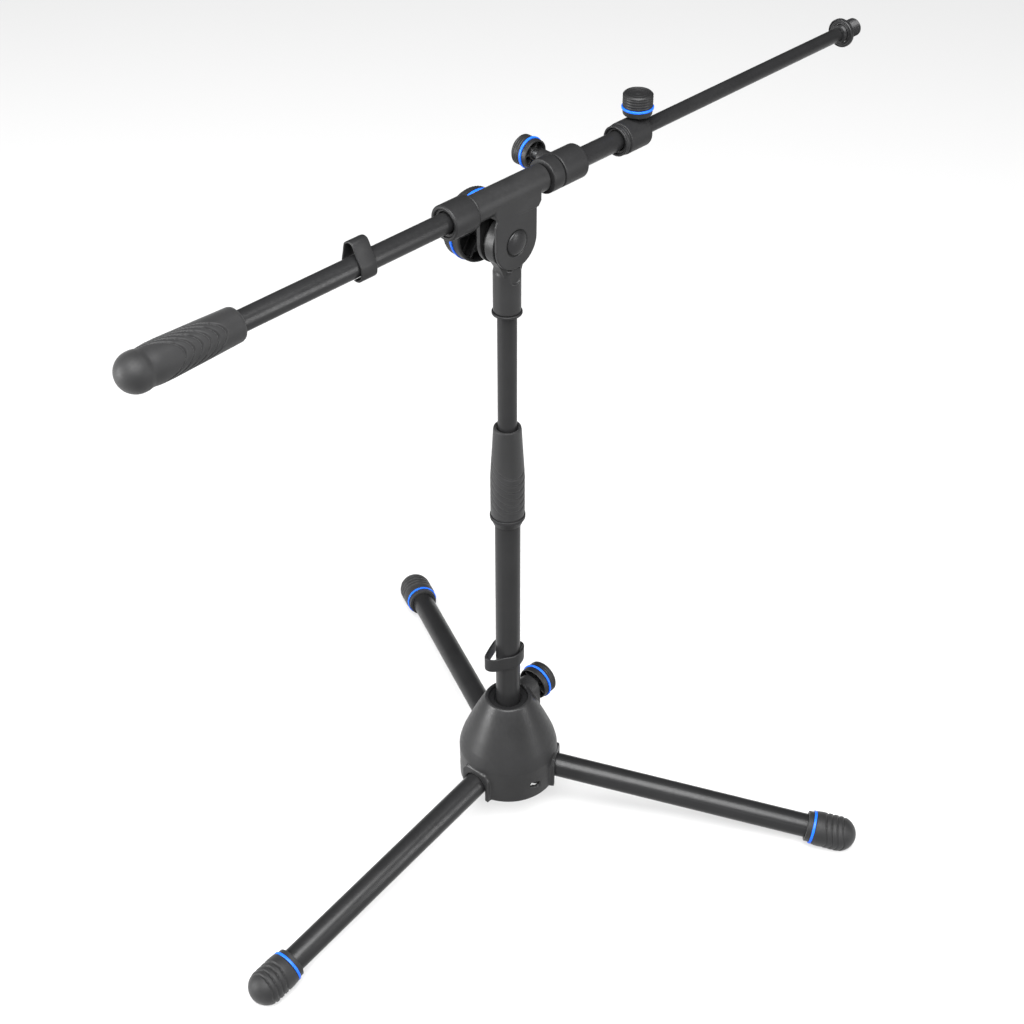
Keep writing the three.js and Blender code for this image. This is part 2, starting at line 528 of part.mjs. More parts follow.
function sleeveFittings() {
  const rear = turned([
    [8.6, REAR_COLLAR.from + 2], [10.8, REAR_COLLAR.from + 2], [10.8, REAR_COLLAR.from],
    [REAR_COLLAR.radius - 0.8, REAR_COLLAR.from], [REAR_COLLAR.radius, REAR_COLLAR.from + 0.8],
    [REAR_COLLAR.radius, REAR_COLLAR.to - GAP], [9.3, REAR_COLLAR.to - GAP], [8.6, REAR_COLLAR.to - 4],
  ]);
  const screwHole = alongY(rod(SCREW_RADIUS + WIDE_GAP, 4, 30, FEW_SIDES)).translate(SLIDE_KNOB_X, 0, 0);
  const boss = alongY(rod(6.5, 11, 24)).translate(SLIDE_KNOB_X, 0, 0);
  const { from, to, radius } = FRONT_COLLAR;
  const front = alongX(turned([
    [8.6, from], [radius, from], [radius, to - 0.8], [radius - 0.8, to], [10.8, to], [10.8, to - 2],
    [8.6, to - 2],
  ]));
  const boomBore = alongX(rod(8.6, FRONT_COLLAR.from - 1, FRONT_COLLAR.to + 1));
  const clampRing = ring(CLAMP_RING.radius, 8.6, CLAMP_RING.from, CLAMP_RING.to);
  return placed([0, 0, BOOM_Z], [0, 0, 0],
    named('rear_collar', alongX(rear), 'plastic'),
    named('clamp_ring', alongX(clampRing), 'plastic'),
    named('front_collar', carved([front, boss], [boomBore, screwHole]), 'plastic'));
}

const boomLiner = () => {
  const liner = alongX(ring(9, BOOM_TUBE.radius + GAP, SLEEVE.from + 1, SLEEVE.to - 1));
  return named('boom_liner', carved([liner], [box([-40, 40], [-0.8, 0.8], [-12, 0])]), 'nylon');
};

// ---------------------------------------------------------------- boom
function boomPieces() {
  const dome = Array.from({ length: 5 }, (_, i) => (Math.PI / 2) * (i / 4))
    .map((turn) => [14.6 * Math.cos(turn), GRIP_END_X + 14.6 - 14.6 * Math.sin(turn)]);
  dome[dome.length - 1][0] = 0;
  const grip = turned([
    [0, BOOM_TUBE_REAR_X - GAP], [BOOM_TUBE.radius + GAP, BOOM_TUBE_REAR_X - GAP],
    [BOOM_TUBE.radius + GAP, GRIP_START_X], [12, GRIP_START_X], [12.8, GRIP_START_X - 2],
    [13.6, GRIP_START_X - 26], [14.6, GRIP_START_X - 60], ...dome,
  ]);
  const tube = ring(BOOM_TUBE.radius, BOOM_TUBE.bore, BOOM_TUBE_REAR_X, BOOM_TUBE_FRONT_X);
  const { from, to, radius } = EXTENSION_COLLAR;
  const shell = turned([
    [BOOM_TUBE.radius + GAP, from + 2], [10.6, from + 2], [10.6, from], [radius - 1.2, from],
    [radius - 0.6, from + 0.6], [radius - 0.6, from + 5], [radius, from + 5.4],
    [radius, to - 0.8], [radius - 0.8, to], [EXTENSION_TUBE.radius + GAP, to],
    [EXTENSION_TUBE.radius + GAP, EXTENSION_BUSH.to + GAP],
    [BOOM_TUBE.radius + GAP, EXTENSION_BUSH.to + GAP],
  ]);
  const boss = rod(5, 12, 15.2, KNOB_SIDES).translate(EXTENSION_KNOB_X, 0, 0);
  const screwHole = rod(SCREW_RADIUS + WIDE_GAP, 3, 20, FEW_SIDES).translate(EXTENSION_KNOB_X, 0, 0);
  return placed([0, 0, BOOM_Z], [0, 0, 0],
    named('boom_tube', alongX(tube), 'powderCoat'),
    named('boom_grip', alongX(grip), 'rubber'),
    named('extension_collar', carved([alongX(shell), boss], [screwHole]), 'plastic'));
}

const boomClip = () => {
  const strip = cableClip(BOOM_CLIP_LINE, BOOM_CLIP_WIDTH).rotateX(Math.PI / 2).rotateZ(-Math.PI / 2);
  return placed([BOOM_CLIP_X, 0, BOOM_Z], [0, 0, 0], named('boom_cable_clip', strip, 'plastic'));
};

const extensionBush = () => {
  const { from, to, radius } = EXTENSION_BUSH;
  const bush = ring(radius, EXTENSION_TUBE.radius + GAP, from, to);
  return placed([0, 0, BOOM_Z], [0, Math.PI / 2, 0], named('extension_bush', bush, 'nylon'));
};

function extensionPieces() {
  const rear = EXTENSION_TUBE_REAR_X;
  const tip = EXTENSION_TUBE_TIP_X;
  const plugRadius = EXTENSION_TUBE.bore - GAP;
  const glideRadius = BOOM_TUBE.bore - GAP;
  const tube = ring(EXTENSION_TUBE.radius, EXTENSION_TUBE.bore, rear, tip);
  const glide = turned([
    [0, rear - 6], [glideRadius, rear - 6], [glideRadius, rear - GAP], [plugRadius, rear - GAP],
    [plugRadius, rear + 10], [0, rear + 10],
  ]);
  const stud = turned([
    [0, tip - 18], [plugRadius, tip - 18], [plugRadius, tip + GAP], [STUD_RADIUS, tip + GAP],
    [STUD_RADIUS, STUD_TIP_X - 1], [STUD_RADIUS - 1, STUD_TIP_X], [0, STUD_TIP_X],
  ]);
  return placed([0, 0, BOOM_Z], [0, Math.PI / 2, 0],
    named('extension_tube', tube, 'powderCoat'),
    named('extension_glide', glide, 'nylon'),
    named('thread_stud', stud, 'blackSteel'));
}

const lockNut = () => {
  const { from, to, radius } = LOCK_NUT;
  const bore = STUD_RADIUS + GAP;
  const nut = turned([
    [bore, from], [radius - 1, from], [radius, from + 1], [radius, to - 1.4], [radius - 1.4, to], [bore, to],
  ]);
  return placed([0, 0, BOOM_Z], [0, Math.PI / 2, 0], named('lock_nut', nut, 'blackSteel'));
};

// ---------------------------------------------------------------- the whole stand
const stand = new THREE.Group();
stand.add(
  hubHousing(), mastGuideBush(), ...legs(), baseKnob(),
  ...lowerMast(), mastClip(), clutchGrip(), clutchCollet(), ...upperMast(),
  headYoke(), socketRim(), frictionWasher('front_friction_washer', FRONT_WASHER),
  frictionWasher('rear_friction_washer', REAR_WASHER), pivotBolt(), tiltKnob(),
  boomSleeve(), sleeveFittings(), placed([0, 0, BOOM_Z], [0, 0, 0], boomLiner()), slideKnob(),
  boomPieces(), boomClip(), extensionKnob(), extensionBush(), extensionPieces(), lockNut(),
);

const bounds = new THREE.Box3().setFromObject(stand, true);
const centre = bounds.getCenter(new THREE.Vector3());
stand.position.set(-centre.x, -centre.y, -bounds.min.z);

const group = new THREE.Group();
group.add(stand);
export default group;
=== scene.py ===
import json
import math

import bpy
import numpy as np
from mathutils import Matrix, Vector


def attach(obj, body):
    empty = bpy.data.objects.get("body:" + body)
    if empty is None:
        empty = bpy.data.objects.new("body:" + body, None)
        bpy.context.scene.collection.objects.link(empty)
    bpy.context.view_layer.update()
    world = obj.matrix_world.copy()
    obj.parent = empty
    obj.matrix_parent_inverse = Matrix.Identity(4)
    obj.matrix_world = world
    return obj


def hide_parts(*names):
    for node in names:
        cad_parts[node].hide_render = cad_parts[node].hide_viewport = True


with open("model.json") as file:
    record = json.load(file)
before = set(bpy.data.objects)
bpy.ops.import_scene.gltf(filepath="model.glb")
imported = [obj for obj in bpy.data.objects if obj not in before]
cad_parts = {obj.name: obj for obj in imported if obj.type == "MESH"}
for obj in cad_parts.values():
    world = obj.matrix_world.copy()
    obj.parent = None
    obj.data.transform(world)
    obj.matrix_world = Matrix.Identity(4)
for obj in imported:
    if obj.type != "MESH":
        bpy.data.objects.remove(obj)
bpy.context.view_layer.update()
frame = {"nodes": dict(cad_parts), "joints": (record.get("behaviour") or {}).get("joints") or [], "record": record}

# ------------------------------------------------------------------ the stand's own frame
# Shapes are drawn in millimetres with the mast axis as Z and the boom along +X, then moved by ORIGIN.
JOINTS = {joint["name"]: joint for joint in frame["joints"]}
MAST = Vector(JOINTS["mast_swivel"]["pos_m"]) * 1000
HEAD = Vector(JOINTS["boom_tilt"]["pos_m"]) * 1000
BOOM = Vector(JOINTS["boom_roll"]["pos_m"]) * 1000
BOOM_Z = 646
PIVOT_Z = 608
ORIGIN = Vector((MAST.x, MAST.y, BOOM.z - BOOM_Z))
LEG_SLOPE = math.radians(8.3)
LEGS = {"back": 63, "left": 183, "right": 303}

PLACE = Matrix.Translation(ORIGIN)
UPRIGHT = Matrix.Identity(4)
ALONG_X = Matrix.Rotation(math.pi / 2, 4, "Y")
ALONG_Y = Matrix.Rotation(-math.pi / 2, 4, "X")
ON_BOOM = Matrix.Translation((0, 0, BOOM_Z)) @ ALONG_X
AT_PIVOT = Matrix.Translation((0, 0, PIVOT_Z)) @ ALONG_Y


def leg_frame(azimuth):
    turn = Matrix.Rotation(math.radians(azimuth), 4, "Z")
    return Matrix.Translation((0, 0, 62)) @ turn @ Matrix.Rotation(math.pi / 2 + LEG_SLOPE, 4, "Y")


# ------------------------------------------------------------------ materials
def finish(name, colour, rough, grain, bump, metal=0.0, gloss=0.12, mottle=0.12, sheen=0.0, wear=0.0):
    """A surface with colour mottling, roughness variation and two sizes of grain in its bump."""
    made = bpy.data.materials.new(name)
    made.use_nodes = True
    nodes, links = made.node_tree.nodes, made.node_tree.links
    shader = nodes["Principled BSDF"]
    shader.inputs["Metallic"].default_value = metal
    shader.inputs["Specular IOR Level"].default_value = gloss
    shader.inputs["Sheen Weight"].default_value = sheen
    shader.inputs["Sheen Roughness"].default_value = 0.5
    where = nodes.new("ShaderNodeTexCoord")

    def noise(size_mm, detail):
        texture = nodes.new("ShaderNodeTexNoise")
        texture.inputs["Scale"].default_value = 1000 / size_mm
        texture.inputs["Detail"].default_value = detail
        links.new(where.outputs["Object"], texture.inputs["Vector"])
        return texture.outputs["Fac"]

    def ramp(source, low, high):
        spread = nodes.new("ShaderNodeMapRange")
        spread.inputs["From Min"].default_value = 0.3
        spread.inputs["From Max"].default_value = 0.7
        spread.inputs["To Min"].default_value = low
        spread.inputs["To Max"].default_value = high
        links.new(source, spread.inputs["Value"])
        return spread.outputs["Result"]

    blotch = noise(26, 4)
    fine = noise(grain, 3)
    coarse = noise(grain * 3.5, 2)
    tint = nodes.new("ShaderNodeMix")
    tint.data_type = "RGBA"
    tint.inputs["A"].default_value = (*[c * (1 - mottle) for c in colour], 1)
    tint.inputs["B"].default_value = (*[min(1, c * (1 + mottle)) for c in colour], 1)
    links.new(ramp(blotch, 0, 1), tint.inputs["Factor"])
    last = tint.outputs["Result"]
    if wear:
        edges = nodes.new("ShaderNodeNewGeometry")
        rubbed = nodes.new("ShaderNodeMapRange")
        rubbed.inputs["From Min"].default_value = 0.53
        rubbed.inputs["From Max"].default_value = 0.6
        rubbed.inputs["To Max"].default_value = wear
        links.new(edges.outputs["Pointiness"], rubbed.inputs["Value"])
        worn = nodes.new("ShaderNodeMix")
        worn.data_type = "RGBA"
        worn.inputs["B"].default_value = (*[min(1, c * 2.2 + 0.01) for c in colour], 1)
        links.new(last, worn.inputs["A"])
        links.new(rubbed.outputs["Result"], worn.inputs["Factor"])
        last = worn.outputs["Result"]
    links.new(last, shader.inputs["Base Color"])
    links.new(ramp(coarse, rough - 0.05, rough + 0.05), shader.inputs["Roughness"])
    relief = nodes.new("ShaderNodeBump")
    relief.inputs["Distance"].default_value = 0.0002
    relief.inputs["Strength"].default_value = bump
    links.new(fine, relief.inputs["Height"])
    links.new(relief.outputs["Normal"], shader.inputs["Normal"])
    return made


FINISHES = {
    "powder_coat": finish("powder_coat", (0.0062, 0.0062, 0.0064), 0.33, 0.7, 0.1, gloss=0.13, mottle=0.1, wear=0.25),
    "casting": finish("casting", (0.008, 0.008, 0.0082), 0.4, 0.9, 0.2, gloss=0.14, mottle=0.14, wear=0.3),
    "plastic": finish("plastic", (0.0062, 0.0062, 0.0064), 0.45, 0.5, 0.16, mottle=0.12, wear=0.2),
    "rubber": finish("rubber", (0.006, 0.006, 0.0062), 0.55, 0.45, 0.22, mottle=0.16, sheen=0.05),
    "blue_ring": finish("blue_ring", (0.006, 0.06, 0.36), 0.34, 0.8, 0.06, mottle=0.06),
    "nylon": finish("nylon", (0.004, 0.004, 0.0042), 0.5, 0.8, 0.1, mottle=0.1),
    "steel": finish("steel", (0.42, 0.43, 0.44), 0.34, 0.35, 0.12, metal=1.0, gloss=0.5, mottle=0.08),
    "black_steel": finish("black_steel", (0.008, 0.008, 0.0083), 0.32, 0.5, 0.12, metal=0.2, mottle=0.12, wear=0.3),
}

for node in frame["record"]["subparts"]:
    carried = frame["nodes"][node["node"]]
    carried.data.materials.clear()
    carried.data.materials.append(FINISHES[node["material_slot"]])
SLOT_OF = {node["node"]: node["material_slot"] for node in frame["record"]["subparts"]}
BODY_OF = {node: body for body, nodes in frame["record"]["behaviour"]["bodies"].items() for node in nodes}


# ------------------------------------------------------------------ mesh helpers
def temporary(shape, matrix=UPRIGHT):
    points, faces = shape
    mesh = bpy.data.meshes.new("shape")
    moved = [matrix @ Vector(p) for p in points]
    mesh.from_pydata(moved, [], faces)
    mesh.update()
    made = bpy.data.objects.new("shape", mesh)
    bpy.context.scene.collection.objects.link(made)
    return made


def baked(made):
    """The object's mesh with its modifiers applied."""
    graph = bpy.context.evaluated_depsgraph_get()
    mesh = bpy.data.meshes.new_from_object(made.evaluated_get(graph))
    made.modifiers.clear()
    made.data = mesh
    return made


def outward(mesh):
    import bmesh
    edit = bmesh.new()
    edit.from_mesh(mesh)
    bmesh.ops.remove_doubles(edit, verts=edit.verts, dist=1e-4)
    bmesh.ops.recalc_face_normals(edit, faces=edit.faces)
    edit.to_mesh(mesh)
    edit.free()


def finished(made, node, sharp=38):
    """Turns a shape in millimetres into the piece that stands for a node."""
    outward(made.data)
    made.data.transform(Matrix.Scale(0.001, 4) @ PLACE)
    made.name = node + "_look"
    made.data.name = node + "_look"
    made.data.shade_smooth()
    made.data.set_sharp_from_angle(angle=math.radians(sharp))
    made.data.materials.clear()
    made.data.materials.append(FINISHES[SLOT_OF[node]])
    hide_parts(node)
    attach(made, BODY_OF[node])
    return made


def piece(node, shape, matrix=UPRIGHT, sharp=38):
    return finished(temporary(shape, matrix), node, sharp)


def moulded(node, adds, cuts, voxel, smooth=4, sharp=60):
    """One casting: shapes joined, shapes cut away, and every edge slightly rounded."""
    whole = temporary(*adds[0])
    others = [temporary(*shape) for shape in adds[1:]]
    tools = [temporary(*shape) for shape in cuts]
    for made in [whole, *others, *tools]:
        outward(made.data)
    for operation, group in (("UNION", others), ("DIFFERENCE", tools)):
        for tool in group:
            cut = whole.modifiers.new("cut", "BOOLEAN")
            cut.operation = operation
            cut.solver = "EXACT"
            cut.object = tool
            baked(whole)
    for tool in others + tools:
        bpy.data.objects.remove(tool)
    remesh = whole.modifiers.new("remesh", "REMESH")
    remesh.mode = "VOXEL"
    remesh.voxel_size = voxel
    soften = whole.modifiers.new("soften", "SMOOTH")
    soften.factor = 0.5
    soften.iterations = smooth
    return finished(baked(whole), node, sharp)


def fillet(profile, radius, steps=4, ring=False):
    """Rounds the corners of a profile of (radius, height) points."""
    points = [Vector(p) for p in profile]
    count = len(points)
    out = []
    for i, corner in enumerate(points):
        if not ring and i in (0, count - 1):
            out.append(corner)
            continue
        before = points[i - 1] - corner
        after = points[(i + 1) % count] - corner
        if before.length < 1e-6 or after.length < 1e-6:
            out.append(corner)
            continue
        turn = math.pi - before.angle(after)
        if turn < math.radians(12):
            out.append(corner)
            continue
        reach = min(radius * math.tan(turn / 2), before.length * 0.45, after.length * 0.45)
        start = corner + before.normalized() * reach
        end = corner + after.normalized() * reach
        for k in range(steps + 1):
            t = k / steps
            out.append(start * (1 - t) ** 2 + corner * 2 * t * (1 - t) + end * t ** 2)
    return [tuple(p) for p in out]


def dense(profile, step, ring=False):
    """Adds points along a profile so that none of its stretches is longer than step."""
    out = []
    pairs = list(zip(profile, profile[1:] + profile[:1])) if ring else list(zip(profile, profile[1:]))
    for (r0, h0), (r1, h1) in pairs:
        count = max(1, math.ceil(math.hypot(r1 - r0, h1 - h0) / step))
        out += [(r0 + (r1 - r0) * k / count, h0 + (h1 - h0) * k / count) for k in range(count)]
    if not ring:
        out.append(profile[-1])
    return out


def spun(profile, sides=96, ring=True, warp=None):
    """A turned body about Z. A ring's profile is a closed loop; any other one ends on the axis.
    warp(angle, radius, height) gives the changed radius and height."""
    angles = np.arange(sides) * 2 * math.pi / sides
    radius = np.array([p[0] for p in profile])[:, None] * np.ones(sides)
    height = np.array([p[1] for p in profile])[:, None] * np.ones(sides)
    turn = np.ones(len(profile))[:, None] * angles
    if warp:
        radius, height = warp(turn, radius, height)
    grid = np.stack([radius * np.cos(turn), radius * np.sin(turn), height], -1)
    rows = len(profile)
    points = grid.reshape(-1, 3).tolist()
    faces = []
    for i in range(rows if ring else rows - 1):
        low, high = i * sides, ((i + 1) % rows) * sides
        for j in range(sides):
            k = (j + 1) % sides
            faces.append((low + j, low + k, high + k, high + j))
    return points, faces


def tube(outer, inner, start, end, sides=96, edge=0.35):
    profile = [(inner, start), (outer, start), (outer, end), (inner, end)]
    return spun(fillet(profile, edge, ring=True), sides)


def plug(radius, start, end, sides=64, edge=0.4):
    profile = fillet([(0, start), (radius, start), (radius, end), (0, end)], edge)
    return spun(profile, sides, ring=False)


def block(x, y, z):
    corners = [(x[i], y[j], z[k]) for i in (0, 1) for j in (0, 1) for k in (0, 1)]
    return corners, [(0, 1, 3, 2), (4, 6, 7, 5), (0, 4, 5, 1), (2, 3, 7, 6), (0, 2, 6, 4), (1, 5, 7, 3)]


def slab(outline, start, end):
    """An outline in the XZ plane, carried along Y."""
    count = len(outline)
    points = [(x, y, z) for y in (start, end) for x, z in outline]
    sides = [(i, (i + 1) % count, count + (i + 1) % count, count + i) for i in range(count)]
    return points, [tuple(range(count - 1, -1, -1)), tuple(range(count, 2 * count)), *sides]


def arc(centre, radius, start, end, count):
    angles = [math.radians(start + (end - start) * k / count) for k in range(count + 1)]
    return [(centre[0] + radius * math.cos(a), centre[1] + radius * math.sin(a)) for a in angles]


def ribbon(line, thickness, width, slope=0.0):
    """A bent strip along Z with rounded edges. line is the middle of its thickness."""
    knots = np.array(line, float)
    steps = np.concatenate([[0], np.cumsum(np.linalg.norm(np.diff(knots, axis=0), axis=1))])
    n = len(knots)
    slopes = np.zeros_like(knots)
    slopes[1:-1] = (knots[2:] - knots[:-2]) / (steps[2:] - steps[:-2])[:, None]
    slopes[0] = (knots[1] - knots[0]) / (steps[1] - steps[0])
    slopes[-1] = (knots[-1] - knots[-2]) / (steps[-1] - steps[-2])
    middle = []
    for i in range(n - 1):
        gap = steps[i + 1] - steps[i]
        for t in np.linspace(0, 1, 7)[: 6 if i < n - 2 else 7]:
            a, b = 2 * t ** 3 - 3 * t ** 2 + 1, t ** 3 - 2 * t ** 2 + t
            c, d = -2 * t ** 3 + 3 * t ** 2, t ** 3 - t ** 2
            middle.append(a * knots[i] + b * gap * slopes[i] + c * knots[i + 1] + d * gap * slopes[i + 1])
    middle = np.array(middle)
    along = np.gradient(middle, axis=0)
    along /= np.linalg.norm(along, axis=1)[:, None]
    across = np.stack([-along[:, 1], along[:, 0]], -1)
    h, w, r = thickness / 2, width / 2, thickness * 0.42
    corner = [math.radians(a) for a in (0, 30, 60, 90)]
    section = []
    for sx, sz, order in ((1, 1, 1), (-1, 1, -1), (-1, -1, 1), (1, -1, -1)):
        bend = [(sx * (h - r + r * math.cos(a)), sz * (w - r + r * math.sin(a))) for a in corner]
        section += bend[::order]
    points, faces = [], []
    m = len(section)
    ends = [0.55, 0.85] + [1.0] * (len(middle) - 4) + [0.85, 0.55]
    for i, p in enumerate(middle):
        for s, z in section:
            q = p + across[i] * s * ends[i]
            points.append((q[0], q[1], z * (1 - (1 - ends[i]) * 0.06) + slope * q[0]))
    for i in range(len(middle) - 1):
        for j in range(m):
            k = (j + 1) % m
            faces.append((i * m + j, i * m + k, (i + 1) * m + k, (i + 1) * m + j))
    faces.append(tuple(range(m - 1, -1, -1)))
    last = (len(middle) - 1) * m
    faces.append(tuple(range(last, last + m)))
    return points, faces


def notch(distance, width, depth):
    """How deep a groove of that width is at that distance from its middle."""
    inside = np.clip(1 - np.abs(distance) / (width / 2), 0, 1)
    return depth * inside * inside * (3 - 2 * inside)


# ------------------------------------------------------------------ tubes
for key, azimuth in LEGS.items():
    piece(f"leg_tube_{key}", tube(11, 9.5, 40, 316), leg_frame(azimuth))
piece("lower_mast_tube", tube(11, 9.5, 54, 385))
piece("upper_mast_tube", tube(8, 6.7, 170, 572))
piece("boom_tube", tube(8, 7, -345, 137), ON_BOOM)
piece("extension_tube", tube(6, 5, 40, 415), ON_BOOM)

# ------------------------------------------------------------------ hub
KNOB_TURN = Matrix.Rotation(math.radians(3), 4, "Z")
bell = [
    (44, 41), (45.3, 42.5), (45.5, 68), (45.7, 76), (45.3, 79), (44.2, 83.5), (42.6, 88.6), (40.3, 94.2),
    (37.4, 101), (33.8, 109), (30.6, 116), (27.2, 123), (23.9, 129.4), (21.3, 134), (20.4, 135), (18, 135),
    (18, 131), (15, 131), (15, 60), (17.6, 60), (17.6, 118), (25.6, 118), (36.2, 94), (41.9, 76), (41.9, 41),
]
adds = [(spun(fillet(bell, 0.9, ring=True), 128),)]
boss = Matrix.Translation((0, 0, 125))
adds.append((plug(11.5, 15.5, 32.6, 64, 0.6), KNOB_TURN @ boss @ ALONG_X))
adds.append((block((15.5, 32.6), (-11.5, 11.5), (105, 125)), KNOB_TURN))
cuts = [(plug(3.4, 12, 45, 32), KNOB_TURN @ boss @ ALONG_X)]
cuts.append((plug(15.02, 50, 131.1, 96),))
cuts.append((plug(18, 131, 150, 96),))
reach, hinge_z = 32 * math.cos(LEG_SLOPE), 62 - 32 * math.sin(LEG_SLOPE)
for azimuth in LEGS.values():
    turn = Matrix.Rotation(math.radians(azimuth), 4, "Z")
    ears = [(-15.5, 41), (-15.5, 66), (-11.5, 72.4), (11.5, 72.4), (15.5, 66), (15.5, 41)]
    across = Matrix.Rotation(-math.pi / 2, 4, "Z")
    adds.append((slab(ears, 38, 46.6), turn @ across))
    for side in (-1, 1):
        edge = sorted((side * 11.7, side * 15.5))
        adds.append((block((16.5, 46.4), edge, (41, 66)), turn))
    cuts.append((plug(11.8, 19, 56, 64, 0.1), leg_frame(azimuth)))
    arch = [(19, 30), (52, 30), (52, 62 - 52 * math.tan(LEG_SLOPE)), (19, 62 - 19 * math.tan(LEG_SLOPE))]
    cuts.append((slab(arch, -11.7, 11.7), turn))
    at_pin = turn @ Matrix.Translation((reach, 0, hinge_z))
    cuts.append((plug(3.3, -30, 16, 32), at_pin @ ALONG_Y))
    slot = Matrix.Rotation(0.4, 4, "Y")
    cuts.append((block((27.5 - reach, 60 - reach), (-60, -28), (-3, 3)), at_pin @ slot))
moulded("hub_housing", adds, cuts, 0.8, 3)

bush = [(11.3, 80), (14.7, 80), (14.7, 131.3), (17.7, 131.3), (17.7, 132), (13, 132), (12.4, 131), (11.3, 131)]
piece("mast_guide_bush", spun(fillet(bush, 0.5, ring=True)))


# ------------------------------------------------------------------ legs
def boot_wave(angle, radius, height):
    """Curved ribs round the boot, deepest on its upper side."""
    sweep = 5.5 * (1 - np.sqrt(np.cos(angle - math.pi) ** 2 + 0.03))
    cut = np.zeros_like(radius)
    for start in (302, 307.2, 312.4, 317.6):
        cut += notch(height - (start + sweep), 2.6, 1.0)
    skin = np.clip((radius - 12) / 2, 0, 1)
    return radius - cut * skin, height


for key, azimuth in LEGS.items():
    dome = [(16.3 * math.cos(a), 316.2 + 16.3 * math.sin(a)) for a in np.linspace(0, math.pi / 2, 14)]
    dome[-1] = (0, dome[-1][1])
    boot = [(0, 316.3), (11.3, 316.3), (11.3, 286), (14.2, 286), (14.2, 293.2), (15.6, 293.4), (16.1, 298)]
    skin = dense(fillet(boot, 0.6) + dome, 0.7)
    shape, place = spun(skin, 112, ring=False, warp=boot_wave), leg_frame(azimuth)
    flat = [place @ Vector(p) for p in shape[0]]
    level = [(p.x, p.y, max(p.z, 0.8)) for p in flat]
    piece(f"leg_boot_{key}", (level, shape[1]))
    piece(f"boot_ring_{key}", tube(15.6, 14.5, 290.6, 292.9, 96, 0.5), place)
    knuckle = arc((0, 0), 8.4, 90, -90, 16)
    outline = [(-7.6, 8.4), *[(x, z) for x, z in knuckle], (-7.6, -8.4)]
    stem = plug(9.2, 38, 62, 48)
    hinge = place @ Matrix.Translation((0, 0, 32)) @ Matrix.Rotation(-math.pi / 2, 4, "Y")
    body = slab([(-x, z) for x, z in outline], -10.9, 10.9)
    moulded(
        f"leg_hinge_block_{key}", [(stem, place), (body, hinge)],
        [(plug(3.3, -20, 20, 32), place @ Matrix.Translation((0, 0, 32)) @ ALONG_Y)], 0.8, 2,
    )
    pin = place @ Matrix.Translation((0, 0, 32)) @ ALONG_Y
    piece(f"hinge_pin_{key}", plug(3, -15, 14.7, 32, 0.5), pin)

# ------------------------------------------------------------------ mast and clutch
clip_turn = Matrix.Translation((0, 0, 185)) @ Matrix.Rotation(math.radians(-45.9), 4, "Z")
MAST_CLIP = [
    (-11.5, 13.6), (-16.2, 3.3), (-20.2, -7.2), (-20, -9.5), (-19.1, -11.4), (-16.3, -13.5), (-12.6, -14.3),
    (-8.7, -14.1), (-5.4, -13.1), (-0.4, -12.3), (5, -11.3), (8.9, -8.6), (11.4, -4.9), (13.1, -0.8),
    (13.7, 3.8), (12.6, 6.8), (11.1, 8.9),
]
piece("mast_cable_clip", ribbon(MAST_CLIP, 1.6, 14, 0.1), clip_turn)
flange = [
    (11.3, 336), (12.4, 336), (14.4, 341.5), (15.2, 342), (15.2, 345), (12.5, 345.2), (12.5, 391),
    (8.3, 391), (8.3, 385.3), (11.3, 385.3),
]
piece("clutch_sleeve", spun(fillet(flange, 0.5, ring=True)))


def clutch_wave(angle, radius, height):
    """Oblique grooves, lowest a little to the right of the camera's side."""
    lift = 10.7 * (1 - np.cos(angle - math.radians(-106)))
    cut = np.zeros_like(radius)
    for k in range(7):
        cut += notch(height - (348 + 6.8 * k + lift), 3.2, 0.75)
    fade = np.clip((height - 349) / 6, 0, 1) * np.clip((406 - height) / 6, 0, 1)
    skin = np.clip((radius - 12.9) / 0.4, 0, 1)
    return radius - cut * fade * skin, height


grip = [
    (12.8, 345.5), (14.2, 345.5), (14.6, 349), (14.6, 384), (13.9, 398), (12.9, 414), (11.9, 432), (11.4, 434),
    (9.4, 434), (9.4, 430), (10.6, 428), (11.1, 391.3), (12.8, 391.3),
]
piece("clutch_grip", spun(dense(fillet(grip, 0.6, ring=True), 0.7, ring=True), 144, warp=clutch_wave))

# ------------------------------------------------------------------ head
socket = [(0, 572.3), (8.3, 572.3), (8.3, 545), (11.2, 545), (11.2, 580), (10.4, 584), (9, 585.4), (0, 585.4)]
half_neck = [(7.4, -34), (9.2, -29), (11.2, -23.6), (13.6, -18.6), (16.8, -13.6)]
neck = half_neck + arc((0, 0), 22.3, -30, 210, 60) + [(-x, z) for x, z in reversed(half_neck)]
disc = slab([(x, PIVOT_Z + z) for x, z in neck], -6.8, 2.4)
scoop = Matrix.Translation((0, 0, PIVOT_Z - 24)) @ Matrix.Scale(1.3, 4, (0, 0, 1)) @ ALONG_Y
moulded(
    "head_yoke", [(spun(fillet(socket, 0.5), 96, ring=False),), (disc,)],
    [(plug(4.3, -20, 30, 48), AT_PIVOT), (plug(9, -30, -9.2, 64, 0.1), scoop)], 0.5, 3,
)
piece("socket_rim", tube(12.3, 8.3, 542.5, 544.7, 96, 0.7))
cap = [(10 * math.sin(a), -10.6 - 2.8 * math.cos(a)) for a in np.linspace(0, math.pi / 2, 12)]
bolt = [(0, -13.4), *cap[1:], (10, -10.2), (4, -10.2), (4, 37), (0, 37)]
piece("pivot_bolt", spun(bolt, 96, ring=False), AT_PIVOT)


def knurl(count, depth, low, high, floor):
    """Fine ribs along a knob's side between two heights."""
    def change(angle, radius, height):
        band = np.clip((height - low) / 0.6, 0, 1) * np.clip((high - height) / 0.6, 0, 1)
        skin = np.clip((radius - floor) / 0.5, 0, 1)
        return radius - depth * band * skin * (0.5 + 0.5 * np.cos(count * angle)), height
    return change


